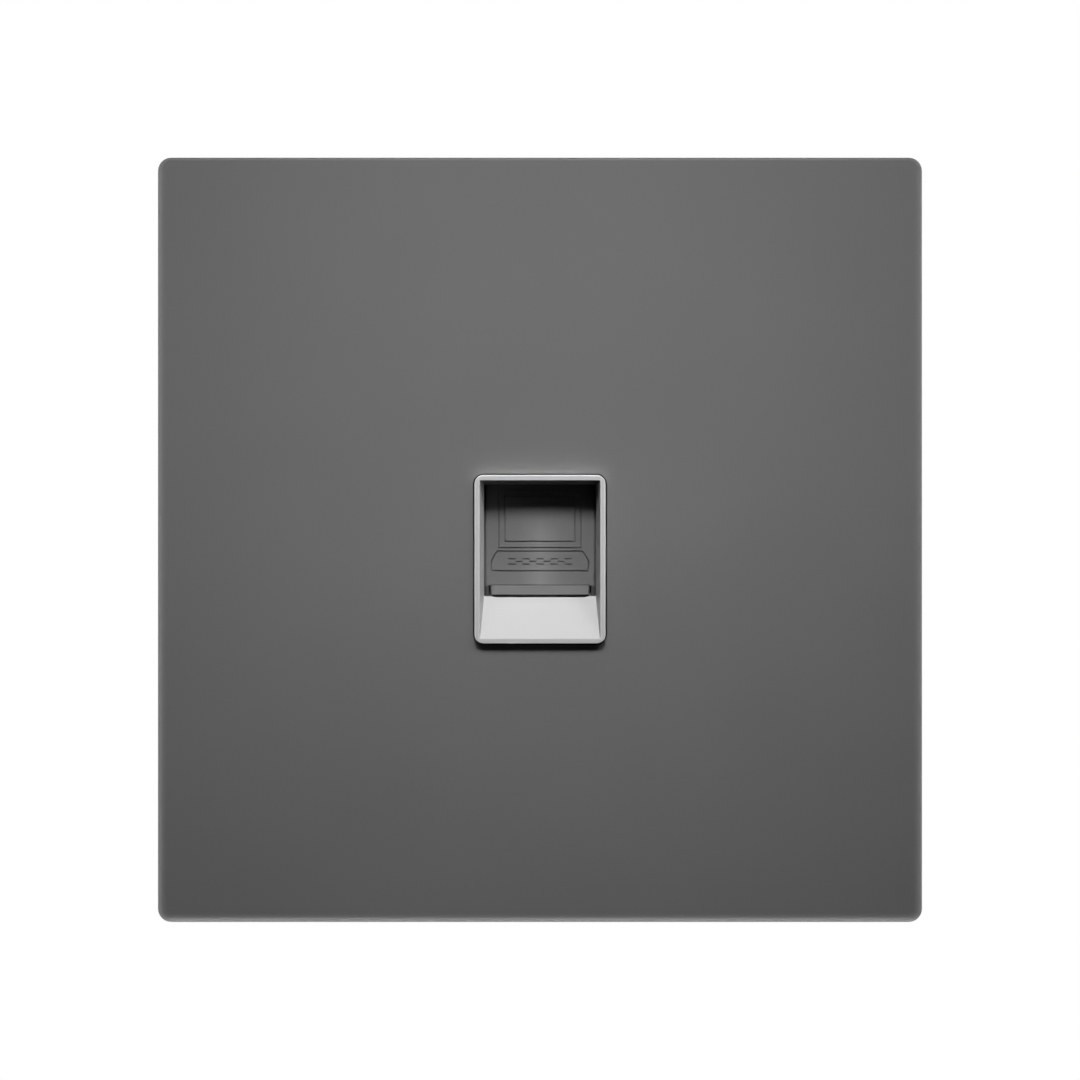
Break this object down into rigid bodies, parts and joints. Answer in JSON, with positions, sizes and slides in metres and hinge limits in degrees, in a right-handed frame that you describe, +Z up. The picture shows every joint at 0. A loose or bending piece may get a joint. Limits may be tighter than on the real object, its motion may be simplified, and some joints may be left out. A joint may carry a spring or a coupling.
{
  "type": "ethernet wall socket",
  "caption": "Square dark grey wall plate with a light grey shuttered data port, over a snap-in jack on a screwed mounting frame.",
  "frame": {"origin": "midway between the two fixing screws, on the plane of the wall", "axes": "+Z up, +Y into the wall, +X to the right seen from the front"},
  "size_m": [0.086, 0.034, 0.086],
  "materials": {
    "cover_grey": "moulded polycarbonate, dark grey satin",
    "frame_white": "moulded polycarbonate, off-white",
    "bezel_silver": "moulded plastic, light silver grey satin",
    "shutter_grey": "moulded plastic, dark grey semi-gloss",
    "spring_steel": "bright drawn spring wire",
    "carrier_grey": "moulded plastic, light grey",
    "jack_black": "moulded plastic, black",
    "comb_black": "moulded plastic, black",
    "contact_gold": "gold-plated spring bronze",
    "board_green": "glass-fibre board with green resist",
    "block_white": "moulded plastic, white",
    "blade_tin": "tinned bronze",
    "cap_white": "moulded plastic, white",
    "screw_zinc": "zinc-plated steel"
  },
  "bodies": {
    "socket": {"cover_plate": "cover_grey", "mounting_frame": "frame_white", "port_bezel": "bezel_silver", "shutter_spring_left": "spring_steel", "shutter_spring_right": "spring_steel", "jack_carrier": "carrier_grey", "jack_housing": "jack_black", "contact_comb": "comb_black", "circuit_board": "board_green", "idc_block": "block_white", "wire_cap_left": "cap_white", "wire_cap_right": "cap_white", "mounting_screws": "screw_zinc", "contact_1": "contact_gold", "contact_2": "contact_gold", "contact_3": "contact_gold", "contact_4": "contact_gold", "contact_5": "contact_gold", "contact_6": "contact_gold", "contact_7": "contact_gold", "contact_8": "contact_gold", "idc_terminal_1": "blade_tin", "idc_terminal_2": "blade_tin", "idc_terminal_3": "blade_tin", "idc_terminal_4": "blade_tin", "idc_terminal_5": "blade_tin", "idc_terminal_6": "blade_tin", "idc_terminal_7": "blade_tin", "idc_terminal_8": "blade_tin"},
    "shutter": {"shutter": "shutter_grey"}
  },
  "joints": [
    {"name": "shutter_slide", "type": "slide", "parent": "socket", "child": "shutter", "axis": [0, 0, 1], "range_m": [0, 0.0106], "stiffness_N_per_m": 100, "springref_m": -0.005, "deforming": ["shutter_spring_left", "shutter_spring_right"]}
  ]
}
